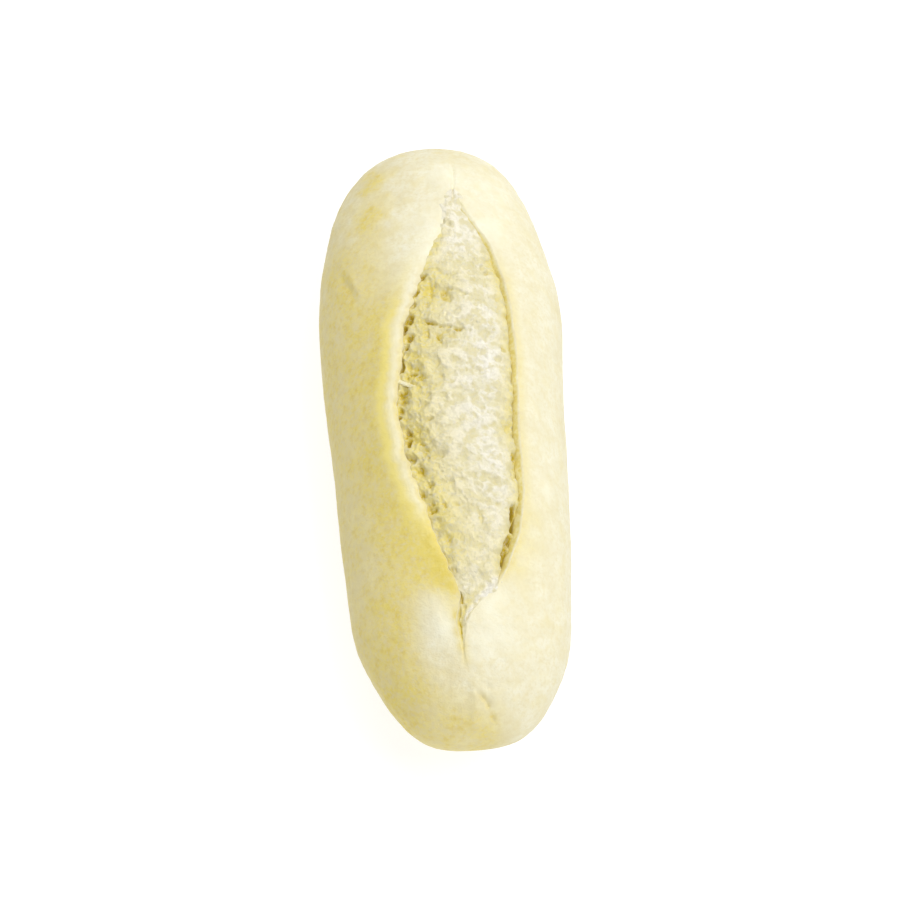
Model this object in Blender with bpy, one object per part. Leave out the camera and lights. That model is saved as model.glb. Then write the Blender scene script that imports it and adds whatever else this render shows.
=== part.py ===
"""A sub roll: a short white loaf whose one long score burst open along its top.

The roll lies along Y on its flat base, with +Z up and its broader end towards +Y.
It is one solid. A ball of dough is drawn out to the roll's length, and the ball's
meridians are gathered at the score, so that the crust's two lips and the torn
crumb between them get the finest mesh. Lengths are in metres.
"""

import math

import bmesh
import bpy
from mathutils import Vector, noise

# The loaf
ROLL_LENGTH = 0.170
ROLL_WIDTH = 0.0622
CROWN_HEIGHT = 0.047  # of the loaf under its lips
WAIST_HEIGHT = 0.019  # of the widest line round the loaf
UNDERSIDE_DEPTH = 0.024  # from the waist to the underside, before the base is pressed flat
WIDEST_PLACE = 0.0067  # along the roll, from its middle
TAPER = 0.083  # share by which the far end is broader, and the near end narrower
BOW = -0.00075  # sideways bend of the roll at its middle
AXIS_X = 0.0002  # centres the bent, uneven roll over the origin
FAR_ROUNDING = 2.65  # superellipse powers: 2 is an ellipse, and more is fuller
NEAR_ROUNDING = 3.0
CROWN_ROUNDING = 2.3
TOP_ROUNDING = 2.0
UNDERSIDE_ROUNDING = 2.4
BASE_EDGE = 0.001  # half the height in which the side curves into the base

# Pushes of the baker's hand, each a place along the roll, an angle from the top
# towards +X, a reach along the roll, and how far the side stands out or in
HAND_PUSHES = (
    (-0.012, math.radians(-90), 0.020, -0.0010),
    (-0.058, math.radians(-85), 0.013, 0.0019),
    (0.035, math.radians(85), 0.016, 0.0010),
    (-0.062, math.radians(85), 0.011, 0.0017),
)
PUSH_SPREAD = 0.8  # radians round the roll

# The score's outline from above: place along the roll, left edge and right edge
SCORE_OUTLINE = (
    (-0.066, -0.0015, -0.0011),
    (-0.059, -0.0023, 0.0008),
    (-0.051, -0.0028, 0.0080),
    (-0.040, -0.0059, 0.0124),
    (-0.027, -0.0094, 0.0162),
    (-0.012, -0.0122, 0.0164),
    (0.004, -0.0132, 0.0174),
    (0.020, -0.0104, 0.0175),
    (0.038, -0.0038, 0.0148),
    (0.052, 0.0024, 0.0097),
    (0.063, 0.0054, 0.0059),
)
SCORE_WIDTH = 0.0306  # at its widest
CLOSED_ANGLE = 0.012  # radians between the lips where the score has closed
CREASE_DEPTH = 0.0008
CREASE_HALF_WIDTH = 0.0008
CREASE_FADE = 0.010  # how far the closed crease runs on past the score
CREASE_CLOSING = 8  # how soon the crease gives way to crumb where the score opens

# The lips and the crumb, across the score
LEFT_LIP_HEIGHT = 0.0016
LEFT_LIP_CREST = 0.0018  # from the torn edge to the lip's crest
RIGHT_LIP_HEIGHT = 0.0005
RIGHT_LIP_CREST = 0.0030
LEFT_CREVICE = 0.0036  # its depth, had it time to reach it
LEFT_FALL = 0.0006  # distance over which it drops from the torn edge
LEFT_RECOVERY = 0.0060  # distance over which the crumb climbs out of it
RIGHT_CREVICE = 0.0040
RIGHT_FALL = 0.0009
RIGHT_RECOVERY = 0.0030
CRUMB_RISE = 0.0008  # of the crumb's middle over the loaf's own curve

# Torn crumb: humps, and the smaller lumps on them
HUMP_SIZE = 0.0085
HUMP_HEIGHT = 0.0012
LUMP_SIZE = 0.0036
LUMP_HEIGHT = 0.0010
RELIEF_MARGIN = 0.0035  # over which the relief dies away at the torn edges

# Skin: the soft unevenness of hand-shaped dough
SKIN_WAVE = 0.026
SKIN_WAVE_HEIGHT = 0.0005

# The mesh
RINGS = 80
COLUMNS = 68
SCORE_COLUMNS = 27
RING_CROWDING = 2.0  # draws the rings from the tips towards the middle
FAN = 16.0  # radians a metre by which the score's columns spread out again past its ends
EDGE_CROWDING = 0.55  # draws the score's columns towards the lips
LIP_CROWDING = 0.55  # draws the crust's columns towards the lips

CRUST_COLOUR = (0.86, 0.79, 0.55, 1.0)
CRUMB_COLOUR = (0.88, 0.84, 0.70, 1.0)


def superellipse_reach(angle, power):
    """Distance from the middle of a unit superellipse to its edge, at this angle."""
    return (abs(math.sin(angle)) ** power + abs(math.cos(angle)) ** power) ** (-1 / power)


def swell(distance, crest):
    """Rises from 0 at the torn edge to 1 at the crest, then dies away."""
    share = distance / crest
    return share * math.exp(1 - share)


def crevice(distance, depth, fall, recovery):
    """How far the crumb lies below the skin, at a distance from the torn edge."""
    return depth * (1 - math.exp(-distance / fall)) * math.exp(-distance / recovery)


def smooth_between(stations, place):
    """Smooth curve through (place, value) pairs, flat past its ends."""
    if place <= stations[0][0]:
        return stations[0][1]
    if place >= stations[-1][0]:
        return stations[-1][1]
    last = len(stations) - 1
    index = max(i for i in range(last) if stations[i][0] <= place)

    def slope(i):
        before, after = stations[max(i - 1, 0)], stations[min(i + 1, last)]
        return (after[1] - before[1]) / (after[0] - before[0])

    (start, low), (end, high) = stations[index], stations[index + 1]
    span = end - start
    t = (place - start) / span
    return (
        low * (1 + 2 * t) * (1 - t) ** 2
        + high * t * t * (3 - 2 * t)
        + span * t * (1 - t) * (slope(index) * (1 - t) - slope(index + 1) * t)
    )


class Station:
    """One ring of the loaf: where it lies along the roll, and its section there."""

    def __init__(self, polar):
        polar = math.atan2(RING_CROWDING * math.sin(polar), math.cos(polar))
        power = FAR_ROUNDING if math.cos(polar) > 0 else NEAR_ROUNDING
        reach = superellipse_reach(polar, power)
        along = reach * math.cos(polar)
        self.girth = reach * math.sin(polar)
        tip = ROLL_LENGTH / 2 - math.copysign(WIDEST_PLACE, along)
        self.y = WIDEST_PLACE + along * tip
        lengthwise = self.y / (ROLL_LENGTH / 2)
        self.half_width = ROLL_WIDTH / 2 * self.girth * (1 + TAPER * lengthwise)
        self.axis_x = AXIS_X + BOW * (1 - lengthwise**2)
        crown = max(0.0, 1 - abs(along) ** CROWN_ROUNDING) ** (1 / CROWN_ROUNDING)
        self.top_radius = (CROWN_HEIGHT - WAIST_HEIGHT) * crown
        self.underside_radius = UNDERSIDE_DEPTH * crown
        self.find_score()

    def find_score(self):
        """The score's edges as angles from the top. Past its ends the crease keeps its angle."""
        first, last = SCORE_OUTLINE[0][0], SCORE_OUTLINE[-1][0]
        self.past_score = max(first - self.y, self.y - last, 0.0)
        place = min(max(self.y, first), last)
        left = smooth_between([(s[0], s[1]) for s in SCORE_OUTLINE], place)
        right = smooth_between([(s[0], s[2]) for s in SCORE_OUTLINE], place)
        half_width = max(self.half_width, ROLL_WIDTH / 4)
        angles = [math.asin((x - self.axis_x) / half_width) for x in (left, right)]
        middle, spread = sum(angles) / 2, max(angles[1] - angles[0], CLOSED_ANGLE) / 2
        spread += FAN / 2 * self.past_score
        self.left_angle, self.right_angle = middle - spread, middle + spread
        self.score_width = 2 * spread * self.half_width
        self.opening = 0.0 if self.past_score else min(1.0, (right - left) / SCORE_WIDTH)
        self.crease = math.exp(-((self.past_score / CREASE_FADE) ** 2))
        self.crease *= max(0.0, 1 - CREASE_CLOSING * self.opening)

    def point(self, around, lift=0.0):
        """A point of the section at an angle from the top towards +X, lifted off the skin."""
        upper = math.cos(around) > 0
        reach = superellipse_reach(around, TOP_ROUNDING if upper else UNDERSIDE_ROUNDING)
        radius = self.top_radius if upper else self.underside_radius
        push = self.girth * sum(
            depth
            * math.exp(-(((self.y - place) / length) ** 2))
            * math.exp(-((math.remainder(around - angle, math.tau) / PUSH_SPREAD) ** 2))
            for place, angle, length, depth in HAND_PUSHES
        )
        x = self.axis_x + (self.half_width + push) * reach * math.sin(around)
        z = WAIST_HEIGHT + (radius + push) * reach * math.cos(around)
        outward = Vector((math.sin(around) * radius, 0, math.cos(around) * self.half_width))
        if lift and outward.length:
            x += lift * outward.x / outward.length
            z += lift * outward.z / outward.length
        return Vector((x, self.y, z))


def crumb_relief(skin):
    """Height of the torn crumb's humps and lumps over its mean surface."""
    humps = noise.noise(skin / HUMP_SIZE)
    lumps = noise.noise(skin / LUMP_SIZE)
    return HUMP_HEIGHT * humps + LUMP_HEIGHT * lumps


def skin_wave(skin):
    """Height of the skin's soft unevenness."""
    return SKIN_WAVE_HEIGHT * noise.noise(skin / SKIN_WAVE)


def score_point(station, share):
    """A point of the torn crumb, at a share of the way from the left lip to the right."""
    eased = 0.5 - 0.5 * math.cos(math.pi * share)
    share = share + (eased - share) * EDGE_CROWDING
    around = station.left_angle + share * (station.right_angle - station.left_angle)
    from_left = share * station.score_width
    from_right = (1 - share) * station.score_width
    open_depth = math.sqrt(station.opening)
    lift = -open_depth * crevice(from_left, LEFT_CREVICE, LEFT_FALL, LEFT_RECOVERY)
    lift -= open_depth * crevice(from_right, RIGHT_CREVICE, RIGHT_FALL, RIGHT_RECOVERY)
    lift += CRUMB_RISE * station.opening * math.sin(math.pi * share)
    from_crease = (share - 0.5) * station.score_width / CREASE_HALF_WIDTH
    lift -= CREASE_DEPTH * station.crease * math.exp(-(from_crease**2))
    inside = min(1.0, from_left / RELIEF_MARGIN, from_right / RELIEF_MARGIN)
    skin = station.point(around)
    relief = inside * open_depth * crumb_relief(skin)
    return station.point(around, lift + relief + skin_wave(skin))


def crust_point(station, share):
    """A point of the crust, at a share of the way from the right lip, under the roll, to the left."""
    eased = share - math.sin(math.tau * share) / math.tau
    share = share + (eased - share) * LIP_CROWDING
    start, end = station.right_angle, station.left_angle + math.tau
    around = start + share * (end - start)
    girth = (station.half_width + station.top_radius) / 2
    from_right = (around - start) * girth
    from_left = (end - around) * girth
    open_height = math.sqrt(station.opening)
    lift = LEFT_LIP_HEIGHT * open_height * swell(from_left, LEFT_LIP_CREST)
    lift += RIGHT_LIP_HEIGHT * open_height * swell(from_right, RIGHT_LIP_CREST)
    return station.point(around, lift + skin_wave(station.point(around)))


def press_base(point):
    """Presses what would lie below the floor flat, with a small round edge."""
    if point.z < BASE_EDGE:
        point.z = max(0.0, point.z + BASE_EDGE) ** 2 / (4 * BASE_EDGE)


def loaf_point(on_ball):
    """Where a point of the unit ball goes. The ball's +Z pole is the roll's far tip."""
    polar = math.acos(max(-1.0, min(1.0, on_ball.z)))
    column = math.atan2(on_ball.y, on_ball.x) / math.tau * COLUMNS
    station = Station(polar)
    score_half = SCORE_COLUMNS / 2
    if abs(column) <= score_half:
        point = score_point(station, (column + score_half) / SCORE_COLUMNS)
    else:
        past = column % COLUMNS - score_half
        point = crust_point(station, past / (COLUMNS - SCORE_COLUMNS))
    press_base(point)
    return point


def matte(name, colour, roughness):
    """A dull food material of one colour."""
    material = bpy.data.materials.new(name)
    material.use_nodes = True
    shader = material.node_tree.nodes["Principled BSDF"]
    shader.inputs["Base Color"].default_value = colour
    shader.inputs["Roughness"].default_value = roughness
    shader.inputs["Metallic"].default_value = 0.0
    material.diffuse_color = colour
    return material


def paint_crumb(dough):
    """Gives the faces between the lips the second material, the crumb's."""
    score_half = SCORE_COLUMNS / 2 / COLUMNS * math.tau
    for face in dough.faces:
        middle = face.calc_center_median()
        opening = Station(math.acos(middle.z / middle.length)).opening
        if abs(math.atan2(middle.y, middle.x)) < score_half and opening > 0:
            face.material_index = 1


def make_roll():
    """The whole roll, as one closed solid."""
    dough = bmesh.new()
    bmesh.ops.create_uvsphere(dough, u_segments=COLUMNS, v_segments=RINGS, radius=1.0)
    paint_crumb(dough)
    for vertex in dough.verts:
        vertex.co = loaf_point(vertex.co)
    mesh = bpy.data.meshes.new("sub_roll")
    dough.to_mesh(mesh)
    dough.free()
    mesh.materials.append(matte("crust", CRUST_COLOUR, 0.6))
    mesh.materials.append(matte("crumb", CRUMB_COLOUR, 0.9))
    mesh.shade_smooth()
    roll = bpy.data.objects.new("sub_roll", mesh)
    bpy.context.scene.collection.objects.link(roll)
    return roll


for old in list(bpy.data.objects):
    bpy.data.objects.remove(old, do_unlink=True)
make_roll()
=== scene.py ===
# %% [markdown]
# # A sub roll in Blender
#
# A sub roll is a short white loaf. Its baker cuts one long score along its top, and in the
# oven the dough bursts open there: two lips of crust draw apart, and torn crumb shows
# between them. This lesson dresses a plain solid of such a roll in three pieces: the crust,
# the crumb in its tear, and a strand of dough that still crosses it. Their materials, the
# floor, the light and the camera follow.

# %% Load the frame
import math

import bmesh
import bpy
import numpy as np
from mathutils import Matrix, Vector, noise


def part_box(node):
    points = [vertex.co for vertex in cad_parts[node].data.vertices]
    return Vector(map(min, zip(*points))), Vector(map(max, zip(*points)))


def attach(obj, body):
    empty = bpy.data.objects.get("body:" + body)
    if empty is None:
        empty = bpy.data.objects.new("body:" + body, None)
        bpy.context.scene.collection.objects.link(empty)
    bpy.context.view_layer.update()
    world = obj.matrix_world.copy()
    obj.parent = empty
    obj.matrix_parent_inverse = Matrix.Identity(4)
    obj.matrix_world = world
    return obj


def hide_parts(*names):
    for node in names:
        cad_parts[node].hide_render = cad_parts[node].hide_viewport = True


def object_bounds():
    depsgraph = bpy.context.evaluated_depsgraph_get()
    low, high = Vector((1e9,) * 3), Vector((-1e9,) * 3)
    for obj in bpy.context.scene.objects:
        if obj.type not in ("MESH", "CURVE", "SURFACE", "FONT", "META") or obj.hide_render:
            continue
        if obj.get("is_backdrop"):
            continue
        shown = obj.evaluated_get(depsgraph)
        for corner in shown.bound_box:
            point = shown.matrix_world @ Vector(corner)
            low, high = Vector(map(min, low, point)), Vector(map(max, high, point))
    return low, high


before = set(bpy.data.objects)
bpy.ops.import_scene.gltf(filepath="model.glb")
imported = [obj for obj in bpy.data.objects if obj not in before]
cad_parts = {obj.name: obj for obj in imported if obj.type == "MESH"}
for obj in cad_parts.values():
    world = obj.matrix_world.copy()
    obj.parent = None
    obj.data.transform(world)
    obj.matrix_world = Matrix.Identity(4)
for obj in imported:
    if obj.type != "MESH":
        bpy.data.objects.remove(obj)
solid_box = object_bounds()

MM = 0.001  # sizes below are in millimetres, and become metres as a mesh is written
low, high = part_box("sub_roll")
print("solid, mm:", [round((b - a) / MM, 1) for a, b in zip(low, high)])

# %% [markdown]
# ## The form of the loaf
#
# The solid is a ball of dough that a few rules draw out into a loaf. The crust and the
# crumb have to keep its form, so the rules come first, written for whole arrays of points
# at once. Copying the solid's own mesh would be shorter, but it has too few points for torn
# dough, and a rule can be read at any fineness.

# %% The loaf's sizes
ROLL_LENGTH = (high.y - low.y) / MM
ROLL_WIDTH = 62.2
CROWN_HEIGHT = 47.0
WAIST_HEIGHT = 19.0
UNDERSIDE_DEPTH = 24.0
WIDEST_PLACE = 6.7
TAPER = 0.083
BOW = -0.75
AXIS_X = 0.2
FAR_ROUNDING, NEAR_ROUNDING, CROWN_ROUNDING = 2.65, 3.0, 2.3
TOP_ROUNDING, UNDERSIDE_ROUNDING = 2.0, 2.4
BASE_EDGE = 1.0
HAND_PUSHES = (  # place along the roll, degrees from the top, reach, and how far it stands out
    (-12, -90, 20, -1.0),
    (-58, -85, 13, 1.9),
    (35, 85, 16, 1.0),
    (-62, 85, 11, 1.7),
)
PUSH_SPREAD = 0.8
SKIN_WAVES = ((0.5, 26.0, 0),)  # height, size and seed of each

# %% The score's sizes
LEFT_EDGE = np.array((  # place along the roll, and where the torn edge is, seen from above
    (-66.5, -1.6), (-62.9, -2.3), (-59.3, -2.7), (-55.7, -1.7), (-52.1, -1.8), (-48.2, -2.6),
    (-44.2, -3.9), (-38.9, -5.9), (-33.5, -7.2), (-29.7, -8.3), (-25.3, -9.7), (-21.0, -10.7),
    (-15.5, -11.6), (-9.8, -12.7), (-5.1, -13.6), (0.2, -13.3), (5.5, -12.3), (9.6, -11.6),
    (15.3, -11.0), (20.7, -9.8), (26.4, -7.7), (32.1, -5.7), (35.9, -3.9), (41.0, -2.0),
    (43.9, 0.1), (51.5, 1.9), (59.2, 3.8), (63.0, 5.4),
))
RIGHT_EDGE = np.array((
    (-66.5, -1.4), (-64.1, -1.1), (-60.6, -0.3), (-57.7, 1.1), (-54.7, 3.9), (-51.0, 8.0),
    (-47.2, 10.6), (-40.7, 13.4), (-35.3, 15.3), (-28.4, 16.6), (-20.2, 17.1), (-12.0, 17.1),
    (-0.8, 17.6), (12.0, 18.1), (19.3, 18.1), (28.1, 17.6), (34.0, 16.6), (39.3, 15.2),
    (46.2, 13.2), (49.9, 11.2), (57.4, 7.3), (63.0, 5.8),
))
SCORE_START, SCORE_END = LEFT_EDGE[0, 0], LEFT_EDGE[-1, 0]
SCORE_WIDTH = 30.6
CLOSED_ANGLE = 0.012
FAN = 0.016
LEFT_STRAYING = ((0.5, 4.0, 1), (0.6, 1.6, 2))
RIGHT_STRAYING = ((0.3, 7.0, 3), (0.2, 2.2, 4))
CREASE_DEPTH, CREASE_HALF_WIDTH, CREASE_FADE, CREASE_CLOSING = 0.45, 0.8, 2.6, 8
print("score, mm:", SCORE_END - SCORE_START, "long and", SCORE_WIDTH, "wide")


# %% Curves, waves and noise
def reach(angle, power):
    """Distance from the middle of a unit superellipse to its edge."""
    return (np.abs(np.sin(angle)) ** power + np.abs(np.cos(angle)) ** power) ** (-1 / power)


def through(places, values, at):
    """Smooth curve through the values at these places, flat past its ends."""
    places, values = np.asarray(places, float), np.asarray(values, float)
    slopes = np.gradient(values, places)
    slopes[1:-1] = (values[2:] - values[:-2]) / (places[2:] - places[:-2])
    i = np.clip(np.searchsorted(places, at) - 1, 0, len(places) - 2)
    span = places[i + 1] - places[i]
    t = np.clip((at - places[i]) / span, 0, 1)
    bend = span * t * (1 - t) * (slopes[i] * (1 - t) - slopes[i + 1] * t)
    return values[i] * (1 + 2 * t) * (1 - t) ** 2 + values[i + 1] * t * t * (3 - 2 * t) + bend


def columns_at(table, at):
    """The later columns of a table, read at places in its first."""
    return [through(table[:, 0], values, at) for values in table.T[1:]]


def swell(distance, crest):
    """Rises from 0 at the torn edge to 1 at the crest, then dies away."""
    share = np.maximum(distance, 0) / crest
    return share * np.exp(1 - share)


def smooth_step(low_end, high_end, value):
    """0 below the low end and 1 above the high end, with an easy slope between."""
    t = np.clip((value - low_end) / (high_end - low_end), 0, 1)
    return t * t * (3 - 2 * t)


def lumps(points, size, seed):
    """Noise between about -1 and 1 whose lumps have this size."""
    shift = Vector((seed * 7.3, seed * 3.1, seed * 5.7))
    return np.array([noise.noise(Vector(p) / size + shift) for p in points])


def ripples(points, waves):
    """Several noises laid over each other, each with its height, size and seed."""
    return sum(height * lumps(points, size, seed) for height, size, seed in waves)


def wander(y, waves):
    """The same along the roll alone, for edges that run along it."""
    stations = np.linspace(-90, 90, 1441)
    return np.interp(y, stations, ripples([(0, s, 0) for s in stations], waves))


# %% The loaf's cross-sections
class Sections:
    """The loaf's cross-sections at places along it, one for each point that asks."""

    def __init__(self, y):
        self.y = np.asarray(y, float)
        from_widest = self.y - WIDEST_PLACE
        far = from_widest > 0
        tip = ROLL_LENGTH / 2 - np.where(far, WIDEST_PLACE, -WIDEST_PLACE)
        along = np.clip(np.abs(from_widest) / tip, 0, 1)
        power = np.where(far, FAR_ROUNDING, NEAR_ROUNDING)
        self.girth = (1 - along**power) ** (1 / power)
        crown = (1 - along**CROWN_ROUNDING) ** (1 / CROWN_ROUNDING)
        lengthwise = self.y / (ROLL_LENGTH / 2)
        self.half_width = ROLL_WIDTH / 2 * self.girth * (1 + TAPER * lengthwise)
        self.axis_x = AXIS_X + BOW * (1 - lengthwise**2)
        self.top = (CROWN_HEIGHT - WAIST_HEIGHT) * crown
        self.under = UNDERSIDE_DEPTH * crown
        self.find_score()

    def find_score(self):
        """The score's ragged edges, as angles from the top, and how far it is open."""
        self.past = np.maximum(np.maximum(SCORE_START - self.y, self.y - SCORE_END), 0)
        [left], [right] = columns_at(LEFT_EDGE, self.y), columns_at(RIGHT_EDGE, self.y)
        open_width = np.where(self.past > 0, 0, right - left)
        ragged = smooth_step(1, 8, open_width)
        left += ragged * wander(self.y, LEFT_STRAYING)
        right += ragged * wander(self.y, RIGHT_STRAYING)
        half_width = np.maximum(self.half_width, ROLL_WIDTH / 4)
        start, end = [np.arcsin((x - self.axis_x) / half_width) for x in (left, right)]
        middle = (start + end) / 2
        spread = np.maximum(end - start, CLOSED_ANGLE) / 2 + FAN / 2 * self.past
        self.left, self.right = middle - spread, middle + spread
        self.width = 2 * spread * self.half_width
        self.opening = np.clip(open_width / SCORE_WIDTH, 0, 1)
        self.open_depth = np.sqrt(self.opening)
        self.crease = np.exp(-((self.past / CREASE_FADE) ** 2))
        self.crease *= np.maximum(0, 1 - CREASE_CLOSING * self.opening)

    def skin(self, around):
        """Points of the smooth skin, and their outward directions."""
        upper = np.cos(around) > 0
        out = reach(around, np.where(upper, TOP_ROUNDING, UNDERSIDE_ROUNDING))
        radius = np.where(upper, self.top, self.under)
        push = 0
        for place, angle, length, depth in HAND_PUSHES:
            turned = np.angle(np.exp(1j * (around - math.radians(angle))))
            near = np.exp(-(((self.y - place) / length) ** 2) - (turned / PUSH_SPREAD) ** 2)
            push = push + depth * self.girth * near
        x = self.axis_x + (self.half_width + push) * out * np.sin(around)
        z = WAIST_HEIGHT + (radius + push) * out * np.cos(around)
        outward = np.stack([np.sin(around) * radius, 0 * x, np.cos(around) * self.half_width], 1)
        length = np.linalg.norm(outward, axis=1, keepdims=True)
        return np.stack([x, self.y, z], 1), outward / np.maximum(length, 1e-9)


def press_base(points):
    """Presses what would lie below the floor flat, with a small round edge."""
    z = points[:, 2]
    points[:, 2] = np.where(z < BASE_EDGE, np.maximum(0, z + BASE_EDGE) ** 2 / (4 * BASE_EDGE), z)


middle = Sections(np.array([0.0]))
print("width and crown at the middle, mm:", middle.half_width * 2, WAIST_HEIGHT + middle.top)

# %% [markdown]
# ## A ball of dough for each closed piece
#
# Crust and crumb are both closed skins that run out to a point at each end, as a ball's
# meridians do at its poles. So each starts as bmesh's UV sphere with its pole turned to the
# roll's far tip. A grid bent round would need its seam and its ends closed by hand.


# %% Start from a ball, end as a piece
def ball_of_dough(rings, columns):
    """A ball, with each vertex's angle from the far pole, and its column from the top."""
    dough = bmesh.new()
    bmesh.ops.create_uvsphere(dough, u_segments=columns, v_segments=rings, radius=1)
    spots = np.array([vertex.co for vertex in dough.verts])
    polar = np.arccos(np.clip(spots[:, 2], -1, 1))
    column = np.rint(np.arctan2(spots[:, 1], spots[:, 0]) / math.tau * columns)
    return dough, polar, column


def make_piece(name, dough, points, attributes):
    """Moves the ball's vertices to their points, and gives the mesh its attributes."""
    for vertex, point in zip(dough.verts, points * MM):
        vertex.co = point
    mesh = bpy.data.meshes.new(name)
    dough.to_mesh(mesh)
    dough.free()
    mesh.shade_smooth()
    for attribute, values in attributes.items():
        layer = mesh.attributes.new(attribute, "FLOAT", "POINT")
        layer.data.foreach_set("value", np.clip(values, 0, 1).astype(np.float32))
    piece = bpy.data.objects.new(name, mesh)
    bpy.context.scene.collection.objects.link(piece)
    triangles = sum(len(face.vertices) - 2 for face in mesh.polygons)
    print(name, "has", triangles, "triangles")
    return piece


# %% [markdown]
# ## The crust
#
# The crust is thin, matt and soft to look at. At the score its left lip has rolled up into
# a pale bead, and its right lip is a sharp edge over a slanting torn wall. The mesh is the
# whole loaf: most of its columns lie on the crust, crowded towards the lips, and the rest
# go down the torn walls and under the crumb. Shaping it all as one skin keeps the lips and
# the walls joined, which a lip laid on as a tube wouldn't be.

# %% The crust's sizes
CRUST_RINGS, CRUST_COLUMNS, TROUGH_COLUMNS = 376, 252, 50
RING_CROWDING = 1.7
LIP_CROWDING = 0.75
LEFT_LIP = np.array((  # place along the roll, height of the lip, distance of its crest
    (-60, 0.2, 2.0),
    (-46, 0.3, 2.0),
    (-38, 0.6, 2.0),
    (-30, 0.9, 2.2),
    (-10, 1.2, 2.8),
    (18, 1.2, 2.8),
    (34, 1.0, 3.0),
    (48, 1.3, 3.4),
    (62, 1.0, 3.4),
))
RIGHT_LIP_HEIGHT, RIGHT_LIP_CREST = 0.5, 3.0
TROUGH = np.array((  # column share, share of the score's width, offset from the edge, depth
    (0.00, 0.0, 0.0, 0.0),
    (0.08, 0.0, -0.2, 0.9),
    (0.18, 0.0, -0.3, 2.2),
    (0.30, 0.0, 0.0, 4.0),
    (0.42, 0.15, 0.0, 5.4),
    (0.58, 0.8, 0.0, 5.4),
    (0.72, 1.0, -1.5, 4.2),
    (0.84, 1.0, -1.1, 2.4),
    (0.94, 1.0, -0.4, 0.7),
    (1.00, 1.0, 0.0, 0.0),
))
MERGES = np.array((  # place along the roll, how far crumb and crust run together at each side
    (-66, 0, 0.5),
    (-60, 0, 0.9),
    (-55, 0, 1),
    (-50, 0, 1),
    (-45, 0, 0),
    (34, 0, 0),
    (42, 1, 0),
    (55, 1, 0.2),
    (60, 1, 1),
))
MARKS = (  # x, y, turn in degrees, half length, half width, height
    (3.4, 66.0, -10, 11.0, 3.4, 0.8),  # the left lip runs on past the score as a soft ridge
    (6.0, 68.5, 2, 4.5, 0.5, -0.45),  # a crease beside it, in the far tip
    (-23.6, 37.4, -18, 5.4, 1.0, -0.6),  # a fold in the left side, and its raised rim
    (-22.2, 37.8, -18, 5.0, 1.3, 0.45),
    (2.5, -76.8, -48, 1.7, 0.5, -1.1),  # a pinch near the near tip
    (3.7, -78.5, 8, 0.8, 0.5, -0.9),
    (4.0, -74.6, -60, 1.2, 0.5, -0.5),
    (4.9, -81.0, 0, 0.7, 0.7, -0.7),
    (1.4, -75.4, 0, 1.6, 1.6, 0.3),
    (0.6, -79.0, 4, 4.5, 1.2, 0.5),
    (5.6, -77.4, 0, 2.4, 1.2, 0.4),
    (-5.7, -70.2, 30, 1.1, 0.9, -0.2),
    (13.4, -67.0, 0, 0.9, 1.1, -0.2),
    (-7.0, -58.5, -14, 6.0, 3.6, 0.7),  # the dough heaves up beside the score's near end
    (9.0, -61.0, 24, 6.0, 4.5, 0.6),
    (22.4, -24.0, 8, 4.8, 2.2, 0.25),  # a flat blister
)
DIMPLES, DIMPLE_SEED = 60, 21
LIP_SWELLS = ((0.3, 9.0, 5), (0.2, 3.0, 16))
CRUST_SWELLS = ((0.16, 8.0, 6),)
CRUST_RIPPLES = ((0.06, 2.4, 7), (0.03, 1.3, 29))
WALL_RIPPLES = ((0.5, 3.2, 8), (0.3, 1.6, 9))


# %% Shape the crust
def place_rings(polar):
    """Places along the roll for rings, drawn from the tips towards the middle."""
    polar = np.arctan2(RING_CROWDING * np.sin(polar), np.cos(polar))
    power = np.where(np.cos(polar) > 0, FAR_ROUNDING, NEAR_ROUNDING)
    along = reach(polar, power) * np.cos(polar)
    return WIDEST_PLACE + along * (ROLL_LENGTH / 2 - np.sign(along) * WIDEST_PLACE)


def small_dimples():
    """Shallow dimples strewn over the upper skin."""
    draw = np.random.default_rng(DIMPLE_SEED)
    for _ in range(DIMPLES):
        x, y = draw.uniform(-27, 27), draw.uniform(-80, 80)
        size = draw.uniform(0.5, 1.1)
        yield x, y, draw.uniform(0, 180), size * draw.uniform(1, 2), size, draw.uniform(-0.14, 0.07)


def marks_at(points):
    """Height of the small ridges, creases and dimples, on the upper side alone."""
    height = np.zeros(len(points))
    for x, y, turn, half_length, half_width, rise in (*MARKS, *small_dimples()):
        angle = math.radians(turn)
        dx, dy = points[:, 0] - x, points[:, 1] - y
        near = np.flatnonzero(np.hypot(dx, dy) < 3 * max(half_length, half_width))
        dx, dy = dx[near], dy[near]
        lengthwise = (dy * math.cos(angle) + dx * math.sin(angle)) / half_length
        across = (dx * math.cos(angle) - dy * math.sin(angle)) / half_width
        height[near] += rise * np.exp(-(lengthwise**2) - across**2)
    return height * smooth_step(WAIST_HEIGHT, WAIST_HEIGHT + 6, points[:, 2])


def crust_side(sections, share):
    """Angles and lifts of crust columns, from the right lip under the roll to the left one."""
    eased = share - np.sin(math.tau * share) / math.tau
    share = share + (eased - share) * LIP_CROWDING
    start, end = sections.right, sections.left + math.tau
    around = start + share * (end - start)
    girth = (sections.half_width + sections.top) / 2
    from_right, from_left = (around - start) * girth, (end - around) * girth
    height, crest = columns_at(LEFT_LIP, sections.y)
    lift = height * (1 + wander(sections.y, LIP_SWELLS)) * swell(from_left, crest)
    _, merged = columns_at(MERGES, sections.y)
    lift += RIGHT_LIP_HEIGHT * swell(from_right, RIGHT_LIP_CREST) * (1 - merged)
    return around, lift * sections.open_depth, from_left, from_right


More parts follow.
